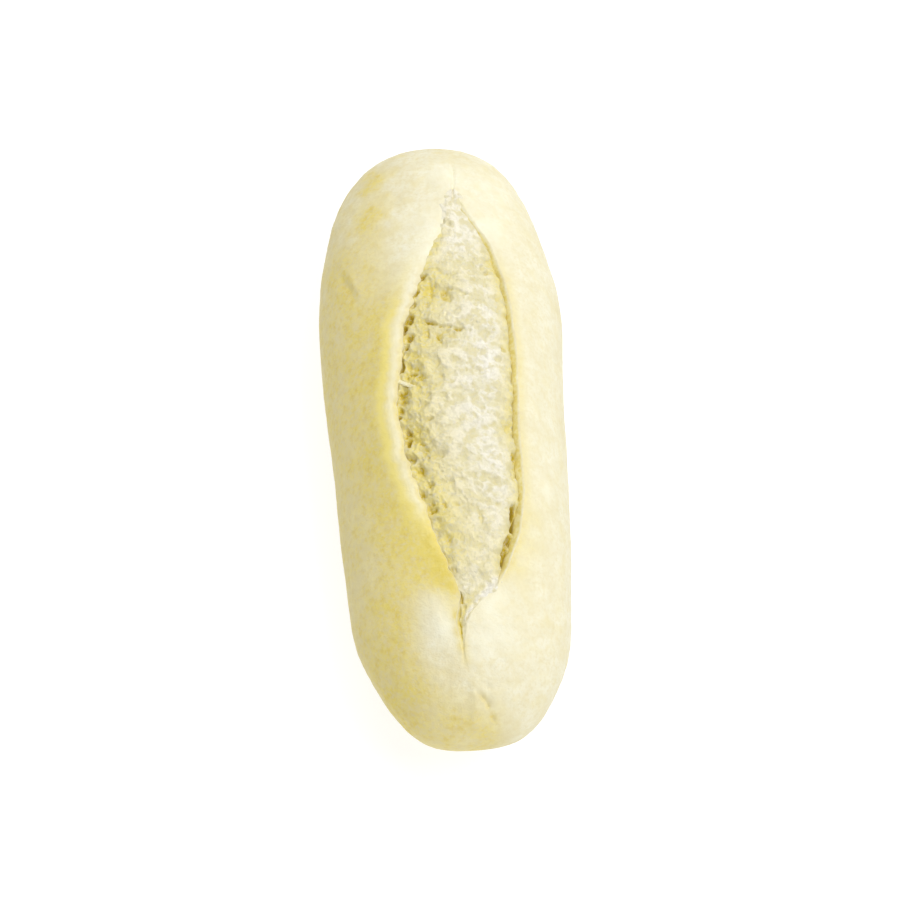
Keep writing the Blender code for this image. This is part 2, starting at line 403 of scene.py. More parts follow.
def trough_side(sections, share):
    """Angles and lifts of the columns that go down the torn walls and under the crumb."""
    fit = smooth_step(0, 10, sections.opening * SCORE_WIDTH)
    across, offset, depth = columns_at(TROUGH, share)
    across = share + (across - share) * fit
    from_left = across * sections.width + offset * fit
    around = sections.left + from_left / np.maximum(sections.half_width, 1e-9)
    middle = (share - 0.5) * sections.width / CREASE_HALF_WIDTH
    lift = -depth * sections.open_depth * smooth_step(0, 4, sections.opening * SCORE_WIDTH)
    lift -= CREASE_DEPTH * sections.crease * np.exp(-(middle**2))
    return around, lift


def shape_crust():
    """The whole loaf's skin, with the trough that the crumb fills."""
    dough, polar, column = ball_of_dough(CRUST_RINGS, CRUST_COLUMNS)
    sections = Sections(place_rings(polar))
    half = TROUGH_COLUMNS / 2
    trough = np.abs(column) <= half
    crust_share = (column % CRUST_COLUMNS - half) / (CRUST_COLUMNS - TROUGH_COLUMNS)
    around, lift, from_left, from_right = crust_side(sections, np.clip(crust_share, 0, 1))
    trough_share = np.clip((column + half) / TROUGH_COLUMNS, 0, 1)
    trough_around, trough_lift = trough_side(sections, trough_share)
    around = np.where(trough, trough_around, around)
    lift = np.where(trough, trough_lift, lift)
    skin, outward = sections.skin(around)
    baked = 1 - trough * smooth_step(0, 1.5, sections.opening * SCORE_WIDTH)
    ends = 1 + 1.5 * smooth_step(40, 62, np.abs(skin[:, 1]))
    uneven = ends * ripples(skin, CRUST_RIPPLES) + ripples(skin, CRUST_SWELLS)
    lift += ripples(skin, SKIN_WAVES) + (marks_at(skin) + uneven) * baked
    walls = trough * sections.open_depth * smooth_step(0.2, 1.2, -trough_lift)
    lift += walls * ripples(skin, WALL_RIPPLES)
    points = skin + outward * lift[:, None]
    press_base(points)
    torn = trough * smooth_step(0.1, 0.7, -trough_lift * (sections.opening > 0))
    _, merged = columns_at(MERGES, sections.y)
    torn *= 1 - 0.85 * merged * smooth_step(0.6, 0.8, trough_share)
    colours = bake_at(skin, from_left, from_right, sections)
    colours = {name: amount * baked for name, amount in colours.items()}
    colours["torn"] = torn
    # painted shade: the bottom of the torn walls is painted dark
    colours["deep"] = trough * smooth_step(1.8, 3.6, -trough_lift)
    return make_piece("crust", dough, points, colours)


# %% Where the crust is gold, where floury, and where painted shade and light fall
LIT_BAND = np.array((  # place along the roll, middle, half width and strength of the bright strip, gold painted lighter as light on the shoulder beside the left lip
    (-46, 1.6, 2.6, 0.0),
    (-38, 2.2, 2.6, 0.5),
    (-28, 3.4, 2.3, 0.8),
    (-10, 4.1, 1.7, 0.9),
    (20, 4.1, 1.7, 0.75),
    (30, 3.9, 1.9, 0.25),
    (37, 3.8, 2.0, 0.2),
    (44, 3.8, 2.0, 0.0),
))
GOLD_BESIDE_SCORE = np.array((  # place along the roll, how golden, how far it reaches
    (-61, 0.0, 4.0),
    (-57, 0.4, 4.0),
    (-50, 1.0, 6.0),
    (-40, 1.0, 7.5),
    (-30, 1.0, 9.0),
    (20, 0.75, 9.0),
    (32, 0.25, 8.0),
    (44, 0.0, 8.0),
))
LEFT_SIDE_SHADE = np.array((  # place along the roll, how gold the left side is painted as shade, away from the key lamp
    (-80, 0.75),
    (-55, 0.6),
    (-30, 0.65),
    (20, 0.75),
    (40, 0.6),
    (60, 0.35),
    (80, 0.25),
))
# Gold patches; those in the fold of the left side, along the crease at the score's near end, in the
# pinch and over the near tip are painted shade
GOLD_AND_SHADE_PATCHES = (  # x, y, radius, strength
    (-13.8, 71.8, 3.5, 0.7),
    (-16.2, 67.5, 3.0, 0.4),
    (-15.3, 59.4, 3.5, 0.45),
    (-18.7, 55.3, 3.5, 0.45),
    (-25.0, 44.0, 5.0, 0.25),
    (-24.0, 39.0, 3.0, 0.3),
    (-25.0, 34.0, 3.0, 0.25),
    (-12.0, 29.0, 4.0, 0.1),
    (-15.0, -36.0, 6.0, 0.35),
    (-12.0, -46.0, 5.0, 0.4),
    (-17.0, -53.0, 7.0, 0.35),
    (-18.0, -62.0, 6.0, 0.3),
    (-2.2, -58.3, 1.4, 0.6),
    (-2.2, -61.7, 1.5, 0.8),
    (-1.5, -65.3, 1.4, 0.7),
    (-0.9, -68.3, 1.4, 0.3),
    (-13.0, -74.0, 6.5, 0.55),
    (-8.5, -82.5, 6.0, 0.5),
    (-2.0, -82.5, 6.0, 0.4),
    (3.0, -84.5, 6.0, 0.45),
    (2.6, -77.0, 1.0, 0.5),
    (3.7, -78.6, 0.7, 0.4),
    (4.9, -81.0, 0.8, 0.5),
    (18.2, -33.0, 2.8, 0.35),
    (20.0, -29.0, 6.0, 0.12),
    (17.0, -40.0, 3.4, 0.45),
    (14.4, -46.5, 3.4, 0.45),
)
RICH_PATCHES = (
    (-9.8, -34.5, 1.6, 0.4),
    (-8.4, -38.0, 2.0, 0.6),
    (-7.2, -41.5, 2.3, 0.8),
    (-6.0, -45.0, 2.4, 0.9),
    (-4.8, -48.6, 2.2, 0.9),
    (-3.5, -51.6, 1.5, 0.7),
)
FLOUR_LIGHT_AND_SHADE_PATCHES = (  # paler patches, painted light on the far tip; less than nothing is painted shade in the crease at the score's near end
    (-6.0, -61.0, 4.5, 0.8),
    (-7.5, -54.0, 3.0, 0.35),
    (5.0, -63.0, 6.0, 0.75),
    (8.0, -53.5, 2.6, 0.5),
    (6.0, -75.0, 4.0, 0.3),
    (13.0, 48.0, 5.0, 0.5),
    (5.5, -56.0, 3.0, 0.4),
    (3.4, 68.0, 6.0, 0.55),
    (-3.0, 52.0, 6.0, 0.35),
    (12.0, 62.0, 9.0, 0.4),
    (22.4, -24.0, 2.0, 0.4),
    (-2.2, -58.3, 1.5, -0.7),
    (-2.2, -61.7, 1.6, -0.9),
    (-1.5, -65.3, 1.5, -0.5),
)
BLOTCHES = ((1.0, 5.0, 10), (0.6, 1.8, 17))
FAR_BLOTCHES = ((0.4, 3.0, 35),)
RIM_GOLD, RIM_REACH = 0.6, 1.7
# The bead and ridge amounts are painted highlights, and the right side's is painted light
BEAD_HIGHLIGHT, RIDGE_HIGHLIGHT, RIDGE_REACH, RIGHT_SIDE_LIGHT = 0.35, 0.7, 6.0, 0.22


def patches_at(skin, patches):
    """Soft round patches on the upper skin."""
    amount = np.zeros(len(skin))
    for x, y, radius, strength in patches:
        away = (skin[:, 0] - x) ** 2 + (skin[:, 1] - y) ** 2
        amount += strength * np.exp(-away / radius**2)
    return amount


def bake_at(skin, from_left, from_right, sections):
    """How much gold and painted shade the crust has, how bright a gold with painted light, how rich
    a gold, and how much flour and painted light.
    """
    x, y = skin[:, 0], skin[:, 1]
    blotchy = ripples(skin, BLOTCHES)
    past_edge = from_left + 0.5 * blotchy
    middle, half_width, strength = columns_at(LIT_BAND, y)
    # partly painted light: the strip on the shoulder beside the left lip is painted brighter gold
    lit_gold_band = strength * np.exp(-(((past_edge - middle) / half_width) ** 2))
    beside, width = columns_at(GOLD_BESIDE_SCORE, y)
    beside *= np.exp(-((np.maximum(past_edge - middle, 0) / width) ** 2))
    on_bead = smooth_step(-38, -28, y) * smooth_step(4.2, 1.5, past_edge)
    on_bead *= 0.5 + 0.5 * smooth_step(0.0, 1.3, past_edge)
    beside *= 1 - on_bead
    [left_side] = columns_at(LEFT_SIDE_SHADE, y)
    # painted shade: the left side, away from the key lamp, is painted gold
    left_shade = left_side * smooth_step(-8, -19, x + 2 * blotchy)
    # gold, with painted shade in the fold, the creases, the pinch and over the near tip
    gold_and_shade = 1 - (1 - beside) * (1 - left_shade) + patches_at(skin, GOLD_AND_SHADE_PATCHES)
    rim = RIM_GOLD * np.exp(-((from_right / RIM_REACH) ** 2)) * smooth_step(-53, -46, y)
    gold_and_shade += rim * smooth_step(46, 34, y)
    gold_and_shade += smooth_step(40, 58, y) * ripples(skin, FAR_BLOTCHES)
    rich = patches_at(skin, RICH_PATCHES) * (1 + 0.5 * blotchy)
    # painted highlights on the bead's crest and along the far ridge
    bead = BEAD_HIGHLIGHT * on_bead * smooth_step(0.2, 1.3, past_edge)
    ridge = RIDGE_HIGHLIGHT * np.exp(-((from_left / RIDGE_REACH) ** 2)) * smooth_step(28, 45, y)
    flour_and_light = np.maximum(bead, ridge) * sections.open_depth
    # painted light: the right side, towards the key lamp, is painted paler
    flour_and_light += patches_at(skin, FLOUR_LIGHT_AND_SHADE_PATCHES) + RIGHT_SIDE_LIGHT * smooth_step(6, 15, x)
    return {
        "gold_and_shade": gold_and_shade * (1 + 0.35 * blotchy),
        "lit_gold_band": lit_gold_band,
        "rich": rich,
        "flour_and_light": flour_and_light * (1 + 0.4 * blotchy),
    }


crust = shape_crust()

# %% [markdown]
# ## The crumb
#
# Dough that tears in the oven shows its bubbles: thin walls round pits of all sizes, larger
# ones half open, and a rough skin over them. The crumb is a long boat of its own that sits
# in the crust's trough, with its sides tucked under the lips, so that no gap shows. Its top
# has most of its columns, and every bubble on it is carved in the mesh. A bump map alone
# would look flat at the lips, where pits are seen from the side.

# %% The crumb's sizes
CRUMB_RINGS, CRUMB_COLUMNS, CRUMB_TOP_COLUMNS = 490, 202, 182
CRUMB_TUCK, CRUMB_WALL_GAP = 1.8, 0.3
CREVICES = np.array((  # place along the roll, depth beside the left lip and the right one
    (-66, 0.4, 0.2),
    (-58, 1.4, 0.5),
    (-51, 0.6, 0.0),
    (-46, 0.5, 2.4),
    (-40, 0.6, 3.4),
    (-33, 0.7, 3.4),
    (-26, 0.6, 1.6),
    (-14, 0.6, 2.0),
    (-2, 0.6, 1.6),
    (18, 0.5, 1.4),
    (31, 0.4, 1.3),
    (37, 0.3, 1.2),
    (42, 0.1, 1.1),
    (52, 0.0, 0.8),
    (60, 0.0, 0.0),
))
LEFT_RECOVERY, RIGHT_RECOVERY = 4.5, 2.4
LEFT_SINKING = ((1.4, 3.2, 23),)
RIGHT_SINKING = ((0.8, 5.0, 24), (0.9, 1.8, 36))
CRUMB_INSET = 0.4  # from the score's ends
CRUMB_RISE = 0.8
CRUMB_BOTTOM, CRUMB_LEAST_DEPTH = 6.0, 0.1
RELIEF, RELIEF_MARGIN = ((1.2, 8.5, 0), (0.8, 3.4, 0)), 3.0
ROUGHNESS = ((0.16, 0.8, 14), (0.25, 1.7, 15))
LAYER_HEIGHT = 0.4
SHEET_STRETCH, COARSE_SHEETS, FINE_SHEETS = 1.5, (4.6, 25), (2.1, 28)  # size and seed
SHEET_RIPPLES = ((0.35, 1.3, 26), (0.2, 0.6, 27))
DIVE, DIVE_REACH = 4.0, 0.3
MERGE_RISE, MERGE_FALL, MERGE_TUCK = 0.4, 0.65, 2.4


# %% Bubbles
BUBBLES = (  # how far they are drawn out across the roll, size, depth, seed
    (1.4, 2.4, 0.45, 11),
    (1.5, 1.2, 0.38, 12),
    (1.0, 0.62, 0.2, 22),
)
BUBBLE_SHIFTS_ACROSS = ((0.8, 3.0, 18), (0.35, 1.1, 19))
BUBBLE_SHIFTS_ALONG = ((0.8, 3.0, 20), (0.35, 1.1, 21))
FOAM_COLUMNS, FOAM_ROWS = 64, 512


def foam(x, y, cell, seed):
    """For each point: how far it is inside its bubble, and that bubble's own number."""
    table = np.random.default_rng(seed).random((FOAM_COLUMNS, FOAM_ROWS, 3))
    across, along = x / cell, y / cell
    column, row = np.floor(across).astype(int), np.floor(along).astype(int)
    nearest, second, own = np.full(x.shape, 9.0), np.full(x.shape, 9.0), np.zeros(x.shape)
    for c in (column - 1, column, column + 1):
        for r in (row - 1, row, row + 1):
            seedling = table[c % FOAM_COLUMNS, r % FOAM_ROWS]
            away = np.hypot(c + seedling[:, 0] - across, r + seedling[:, 1] - along)
            closer = away < nearest
            second = np.where(closer, nearest, np.minimum(second, away))
            own = np.where(closer, seedling[:, 2], own)
            nearest = np.where(closer, away, nearest)
    return second - nearest, own


def foam_depth(x, y, cell, depth, seed):
    """Rounded pits with thin walls between them, a few deep and most shallow."""
    inside, own = foam(x, y, cell, seed)
    bowl = 1 - (1 - np.clip(inside / 0.8, 0, 1)) ** 2
    return depth * bowl * (0.2 + 0.8 * own**2)


# %% Torn hollows, and where the crumb dried darker
HOLLOWS = (  # x, y, turn in degrees, half width, half length, depth
    (-8.8, 22.4, 10, 1.3, 1.7, 2),  # the torn pockets beside the left lip
    (-10.3, 19.6, 15, 0.9, 1.5, 1.8),
    (-8.9, 17.0, 15, 1.0, 1.4, 1.3),
    (-9.9, 14.2, 30, 0.8, 0.9, 1.3),
    (-6.4, 30.0, 20, 0.9, 1.3, 1.2),
    (-4.1, 26.4, 0, 1.1, 0.9, 0.8),
    (-7.6, 26.4, 15, 0.8, 1.4, 1),
    (-4.9, 33.8, 75, 0.6, 1.5, 1.2),
    (-3.6, 30.0, 10, 2.0, 3.0, 0.9),
    (-3.3, 41.0, 35, 0.8, 1.2, 1.3),
    (2.1, 51.0, 20, 0.6, 1.0, 0.8),
    (-11.5, 9.2, 0, 0.8, 1.4, 1.7),
    (-7.6, 7.2, 20, 0.6, 0.9, 1.0),
    (-8.4, 5.8, 10, 3.0, 3.6, 0.9),
    (-11.4, 0.6, 0, 1.6, 2.7, 1.4),
    (-12.6, -3.4, -10, 0.9, 1.4, 1.5),
    (-13.4, -5.3, 70, 0.6, 1.4, 1.3),
    (-11.3, -9.2, 0, 1.0, 1.2, 1.5),
    (-11.2, -12.6, -10, 0.9, 1.5, 1.4),
    (-10.4, -16.7, -10, 1.0, 1.8, 1.2),
    (-8.9, -20.2, 0, 1.5, 1.7, 1.2),
    (-8.4, -12.0, -8, 3.4, 7.0, 0.8),
    (-6.0, -7.1, 85, 0.5, 1.8, 1.1),
    (-6.8, -24.3, 0, 1.4, 1.2, 0.9),
    (-9.0, -27.0, 0, 0.8, 1.2, 1.2),
    (-6.8, -30.6, 0, 1.7, 1.8, 1.1),
    (-3.4, -29.8, -20, 0.6, 1.8, 0.8),
    (-4.2, -35.0, 0, 1.4, 1.0, 0.6),
    (-3.0, -39.0, 0, 1.2, 1.4, 0.7),
    (-2.9, -47.2, -20, 1.3, 1.2, 1),
    (-2.4, -50.9, 0, 0.7, 1.2, 1.2),
    (-1.0, -53.8, -10, 0.6, 1.6, 1.1),
    (-1.9, -57.6, 20, 0.6, 1.9, 1.3),
    (-0.4, -56.0, 0, 0.6, 0.7, 0.9),
    (0.5, -58.6, 30, 0.5, 1.2, 0.8),
    (-2.0, -61.8, 0, 0.6, 2.4, 1),
    (0.4, 16.0, 85, 2.2, 4.2, 0.75),  # a wide shallow window, and the fold over it
    (-3.4, 20.4, 115, 0.5, 2.4, 1.1),
    (0.4, 18.7, 95, 0.5, 2.4, 1),
    (3.8, 18.2, 85, 0.5, 1.8, 1.1),
    (6.5, 17.6, 0, 0.5, 0.7, 0.9),
    (-4.8, 17.4, 0, 1.0, 1.8, 0.8),
    (-2.4, 7.4, 10, 2.4, 2.6, 0.8),
    (2.2, 9.2, 0, 1.2, 1.0, 0.7),
    (5.1, 7.5, 0, 0.9, 1.2, 0.6),
    (1.3, 27.7, -15, 1.3, 1.7, 1.0),
    (2.2, 33.4, 85, 1.0, 1.6, 0.7),
    (3.0, 40.3, 80, 0.6, 1.3, 0.7),
    (-1.3, 31.2, 0, 0.9, 1.1, 0.8),
    (4.6, 28.8, 110, 0.5, 3.4, 0.8),
    (2.5, 0.5, 85, 1.0, 2.6, 0.6),
    (5.4, -34.0, 10, 0.6, 1.8, 0.8),
    (0.0, -42.5, 0, 0.8, 1.0, 0.6),
    (11.6, 36.6, 20, 0.8, 1.0, 1.1),  # pockets beside the right lip
    (12.6, 35.4, 40, 0.7, 1.1, 1.2),
    (14.6, 28.5, 10, 0.8, 1.1, 1),
    (15.2, 12.9, 0, 0.9, 1.4, 1),
    (12.9, 10.2, 0, 0.8, 1.1, 1.0),
    (15.3, -17.0, 10, 1.1, 1.5, 1.7),
    (13.8, -31.8, 0, 0.8, 2.2, 3.4),  # the slit at the foot of the right wall
    (13.9, -35.8, 8, 0.8, 2.0, 3.4),
    (12.2, -39.2, 32, 0.7, 2.2, 3.2),
    (10.9, -43.4, 6, 0.8, 3.0, 3.4),
    (9.6, -48.6, 22, 0.5, 2.6, 1.1),
    (9.2, 53.4, -38, 0.5, 3.2, 1.0),
)
HOLLOW_RIPPLES = ((0.5, 1.5, 31), (0.4, 0.7, 32))
TAN_PATCHES = (  # x, y, radius, strength, less than nothing where it stayed white
    (2.2, 51.0, 1.4, 0.4),
    (-2.7, 40.5, 2.2, 0.5),
    (-5.2, 36.0, 2.0, 0.45),
    (4.6, 26.6, 3.5, -0.15),
    (-2.9, 2.6, 3.0, 0.3),
    (-12.5, -5.1, 2.0, 0.4),
    (1.5, -29.4, 3.5, -0.12),
    (5.2, -47.5, 4.0, -0.45),
    (-2.4, -60.0, 2.2, 0.4),
    (-1.4, -64.0, 2.0, 0.4),
)


def hollows_at(skin, x, y):
    """Depth of the torn hollows, each a bowl with a steep, uneven rim."""
    uneven = ripples(skin, HOLLOW_RIPPLES)
    depth = np.zeros(len(x))
    for bx, by, turn, half_width, half_length, deep in HOLLOWS:
        angle = math.radians(turn)
        dx, dy = x - bx, y - by
        near = np.flatnonzero(np.hypot(dx, dy) < 1.3 * half_length + half_width)
        dx, dy = dx[near], dy[near]
        lengthwise = (dy * math.cos(angle) + dx * math.sin(angle)) / half_length
        across = (dx * math.cos(angle) - dy * math.sin(angle)) / half_width
        outwards = np.hypot(lengthwise, across) + 0.5 * uneven[near]
        bowl = 0.75 * deep * smooth_step(1.25, 0.4, outwards) * (1 - 0.8 * uneven[near])
        depth[near] = np.maximum(depth[near], bowl)
    return depth


# %% The crumb's height
def crevice_depths(y):
    """Depths beside the left and the right lip, which come and go along the roll."""
    left, right = columns_at(CREVICES, y)
    left = left * np.clip(0.6 + wander(y, LEFT_SINKING), 0.0, 1.6)
    right = right * np.clip(0.8 + wander(y, RIGHT_SINKING), 0.1, 1.5)
    return left, right


def merge_at(share, y):
    """How far crumb and crust run together, at this share of the way across the score."""
    left, right = columns_at(MERGES, y)
    return np.maximum(left * smooth_step(0.6, 0.2, share), right * smooth_step(0.4, 0.8, share))


def crumb_height(from_left, from_right, sections, skin):
    """Height of the torn crumb over the loaf's skin, before its bubbles."""
    share = np.clip(from_left / np.maximum(sections.width, 1e-9), 0, 1)
    height = CRUMB_RISE * sections.opening * np.sin(math.pi * share)
    left, right = crevice_depths(sections.y)
    height -= left * np.exp(-np.maximum(from_left, 0) / LEFT_RECOVERY)
    height -= right * np.exp(-np.maximum(from_right, 0) / RIGHT_RECOVERY)
    merged = merge_at(share, sections.y)
    from_edge = np.minimum(from_left, from_right)
    fall = MERGE_FALL * smooth_step(0.6, -MERGE_TUCK, from_edge)
    height += merged * (MERGE_RISE - fall + marks_at(skin))
    inside = np.clip(from_edge / RELIEF_MARGIN, 0, 1)
    relief = ripples(skin, RELIEF)
    return height + inside * sections.open_depth * relief, relief


def torn_layers(skin):
    """Torn sheets of crumb, each ending at a ragged step: 1 on a sheet and 0 beside it."""
    ragged = ripples(skin, SHEET_RIPPLES)
    wide = np.stack([skin[:, 0] / SHEET_STRETCH, skin[:, 1], skin[:, 2]], 1)
    coarse = smooth_step(-0.06, 0.06, lumps(wide, *COARSE_SHEETS) + 0.5 * ragged)
    return 0.6 * coarse + 0.4 * smooth_step(-0.1, 0.1, lumps(wide, *FINE_SHEETS) + ragged)


def bubbles_at(skin, toast_and_shade_share):
    """Depths of the bubbles, larger where toasting and painted shade are strongest, and of the torn
    hollows.
    """
    x = skin[:, 0] + ripples(skin, BUBBLE_SHIFTS_ACROSS)
    y = skin[:, 1] + ripples(skin, BUBBLE_SHIFTS_ALONG)
    large, middling, small = [foam_depth(x / stretch, y, *rest) for stretch, *rest in BUBBLES]
    pits = large * (1 + 0.6 * toast_and_shade_share) + middling + small
    pits *= 0.55 + 0.45 * smooth_step(56, 40, skin[:, 1])
    return pits, hollows_at(skin, (x + skin[:, 0]) / 2, (y + skin[:, 1]) / 2)


# %% The crumb's colours
# Toasting and painted shade on the crumb beside the lips, and along its far left edge
LEFT_TOASTS_AND_SHADE = ((1.0, 24.0), (0.35, 6.0), (0.3, 8.0))  # strength and reach
RIGHT_TOAST_AND_SHADE, RIGHT_TOAST_AND_SHADE_REACH = 1.1, 4.2
FAR_EDGE_TOAST_AND_SHADE, FAR_EDGE_REACH, FAR_EDGE_SPOTS = 0.6, 2.2, ((2.4, 2.2, 41),)
# painted shade in the crevices beside the lips
LEFT_CREVICE_SHADE, RIGHT_CREVICE_SHADE = (0.4, 1.6), (0.5, 0.7)  # strength and reach


def left_toast_and_shade(from_left, y):
    """Toasting and painted shade on the crumb: most beside the left lip, whose slope falls away
    from the light, and less across and at both ends.
    """
    (wide, wide_reach), (lip, lip_reach), (waist, waist_reach) = LEFT_TOASTS_AND_SHADE
    across = wide * np.clip(1 - np.maximum(from_left, 0) / wide_reach, 0, 1) ** 1.3
    across += lip * np.exp(-((from_left / lip_reach) ** 2))
    across += waist * np.exp(-((from_left / waist_reach) ** 2) - ((y - 2) / 20) ** 2)
    fade = smooth_step(46, 30, y) * smooth_step(-54, -38, y)
    spotty = FAR_EDGE_TOAST_AND_SHADE * np.clip(0.45 + wander(y, FAR_EDGE_SPOTS), 0.0, 1.3)
    far_edge = np.exp(-((from_left / FAR_EDGE_REACH) ** 2)) * smooth_step(30, 38, y)
    return across * (0.15 + 0.85 * fade) + spotty * far_edge * smooth_step(56, 48, y)


def right_toast_and_shade(from_right, y):
    """Toasting and painted shade beside the right lip, where its wall shades the crumb, widest near
    the middle.
    """
    reach_here = RIGHT_TOAST_AND_SHADE_REACH + 1.8 * np.exp(-(((y + 6) / 12) ** 2))
    return RIGHT_TOAST_AND_SHADE * np.exp(-((from_right / reach_here) ** 2)) * smooth_step(52, 34, y)


def crevice_shade(from_left, from_right, y):
    """How much painted shade a point gets for lying deep in the crevice beside either lip."""
    left, right = crevice_depths(y)
    shade = LEFT_CREVICE_SHADE[0] * left * np.exp(-np.maximum(from_left, 0) / LEFT_CREVICE_SHADE[1])
    past_gap = np.maximum(from_right - CRUMB_WALL_GAP, 0)
    return shade + RIGHT_CREVICE_SHADE[0] * right * np.exp(-past_gap / RIGHT_CREVICE_SHADE[1])


# %% Shape the crumb
def crumb_across(sections, column):
    """Distances of the crumb's columns from the left lip, and from the crumb's own edge."""
    half = CRUMB_TOP_COLUMNS / 2
    over = np.clip((column + half) / CRUMB_TOP_COLUMNS, 0, 1)
    under = (column % CRUMB_COLUMNS - half) / (CRUMB_COLUMNS - CRUMB_TOP_COLUMNS)
    share = np.where(np.abs(column) <= half, over, 1 - np.clip(under, 0, 1))
    fit = smooth_step(0, 10, sections.opening * SCORE_WIDTH)
    left, right = columns_at(MERGES, sections.y)
    feather = MERGE_TUCK * smooth_step(0, 2.5, sections.width)
    first = -CRUMB_TUCK * fit * (1 - left) - feather * left
    last = sections.width - CRUMB_WALL_GAP * fit * (1 - right) + feather * right
    return first + share * (last - first), np.minimum(share, 1 - share) * (last - first)


def shape_crumb():
    """The boat of crumb, with its torn top."""
    dough, polar, column = ball_of_dough(CRUMB_RINGS, CRUMB_COLUMNS)
    start, end = SCORE_START + CRUMB_INSET, SCORE_END - CRUMB_INSET
    sections = Sections(end - (end - start) * polar / math.pi)
    from_left, edge = crumb_across(sections, column)
    from_right = sections.width - from_left
    skin, outward = sections.skin(sections.left + from_left / sections.half_width)
    y = skin[:, 1]
    height, relief = crumb_height(from_left, from_right, sections, skin)
    merged = merge_at(from_left / np.maximum(sections.width, 1e-9), y)
    inner = smooth_step(0.2, 1.4, edge) * sections.open_depth
    inner = np.maximum(inner, merged * smooth_step(0, 0.3, edge))
    toast_and_shade_share = left_toast_and_shade(from_left, y)
    pits, hollows = bubbles_at(skin, toast_and_shade_share)
    layers = torn_layers(skin)
    rough = ripples(skin, ROUGHNESS) + LAYER_HEIGHT * layers
    dive = DIVE * np.exp(-edge / DIVE_REACH) * sections.open_depth
    narrow = 0.8 * smooth_step(0.5, 3.0, sections.width)
    lift = height + (rough - pits) * inner - hollows * np.maximum(inner, narrow) - dive
    bottom = -CRUMB_BOTTOM * sections.open_depth - CRUMB_LEAST_DEPTH
    top = np.abs(column) <= CRUMB_TOP_COLUMNS / 2
    lift = np.where(top, np.maximum(lift, bottom), bottom) + ripples(skin, SKIN_WAVES)
    # painted shade in pits, hollows and the crevices beside the lips, and painted light on raised
    # crumb and torn sheets, and paler where crumb and crust run together
    shade_in_hollows = 0.85 * pits + 0.72 * hollows + crevice_shade(from_left, from_right, y)
    light_on_raised = 0.22 * relief + 0.36 * layers + 0.3 * merged
    # toasting and painted shade beside both lips go into the crumb's colours
    return make_piece("crumb", dough, skin + outward * lift[:, None], {
        "pit_shade": shade_in_hollows - light_on_raised + patches_at(skin, TAN_PATCHES),
        "toast_and_shade": toast_and_shade_share + right_toast_and_shade(from_right, y) * (1 - merged),
    })


crumb = shape_crumb()

# %% [markdown]
# ## A strand of dough
#
# Where the left lip drew away, one strand of dough held on, and dried as a thin bridge over
# the crevice. It is a ball drawn out between its two ends, both sunk in the bread.

# %% Draw out the strand
STRAND_ENDS = ((-13.6, 6.4, 0.2), (-8.3, 1.8, 0.6))  # x, y and depth under the skin
STRAND_THICKNESS, STRAND_RISE, STRAND_SWAY = 0.8, 0.3, 0.3
STRAND_FOOT, STRAND_THINNING, STRAND_FLATNESS = 1.9, 1.3, 0.6
STRAND_RIPPLES = ((0.5, 0.9, 33), (0.3, 0.4, 34))
STRAND_RINGS, STRAND_COLUMNS = 90, 28


def in_bread(x, y, depth):
    """The point this deep under the smooth skin at this place, and the way out."""
    sections = Sections([y])
    around = np.arcsin((x - sections.axis_x) / sections.half_width)
    skin, outward = sections.skin(around)
    return skin[0] - outward[0] * depth, outward[0]


def shape_strand():
    """A strand with wide feet and a thin, uneven middle."""
    (start, outward), (end, _) = [in_bread(*place) for place in STRAND_ENDS]
    dough = bmesh.new()
    bmesh.ops.create_uvsphere(
        dough, u_segments=STRAND_COLUMNS, v_segments=STRAND_RINGS, radius=1
    )
    spots = np.array([vertex.co for vertex in dough.verts])
    along = (1 - np.arccos(np.clip(spots[:, 2], -1, 1)) / math.pi)[:, None]
    direction = (end - start) / np.linalg.norm(end - start)
    side = np.cross(direction, outward)
    side /= np.linalg.norm(side)
    line = start + (end - start) * along + outward * STRAND_RISE * np.sin(math.pi * along)
    line += side * STRAND_SWAY * np.sin(math.tau * along)
    ring = np.hypot(spots[:, 0], spots[:, 1])[:, None]
    flat = spots[:, :1] * side + spots[:, 1:2] * np.cross(direction, side) * STRAND_FLATNESS
    cross = flat / np.maximum(ring, 1e-9) * ring**0.4
    waist = STRAND_FOOT - STRAND_THINNING * np.sin(math.pi * along) ** 0.6
    waist *= 1 + ripples(line + cross, STRAND_RIPPLES)[:, None]
    return make_piece("strand", dough, line + cross * waist * STRAND_THICKNESS, {})


strand = shape_strand()

# %% [markdown]
# ## Materials
#
# Neither crust nor crumb is one colour. The crust is pale cream with a fine grain, and its
# left slope is painted deeper and more golden as shade. The crumb's walls are near white, and
# its pits and crevices are painted mustard as shade, the colour that light takes when it
# crosses bread several times in a pit before it leaves; raised crumb is painted paler as light.
# Both are mixed by nodes from the attributes that the shaping left in the meshes.


# %% Small helpers for node trees
def material_tree(name):
    """A new material, its tree and its shader."""
    material = bpy.data.materials.new(name)
    material.use_nodes = True
    return material, material.node_tree, material.node_tree.nodes["Principled BSDF"]


def attribute(tree, name):
    """A value that the shaping left on each vertex."""
    reader = tree.nodes.new("ShaderNodeAttribute")
    reader.attribute_name = name
    return reader.outputs["Fac"]


def grain(tree, size, detail=3.0):
    """Noise in object space whose lumps have this size in millimetres."""
    place = tree.nodes.new("ShaderNodeTexCoord")
    texture = tree.nodes.new("ShaderNodeTexNoise")
    texture.inputs["Scale"].default_value = 1 / (size * MM)
    texture.inputs["Detail"].default_value = detail
    tree.links.new(place.outputs["Object"], texture.inputs["Vector"])
    return texture.outputs["Fac"]


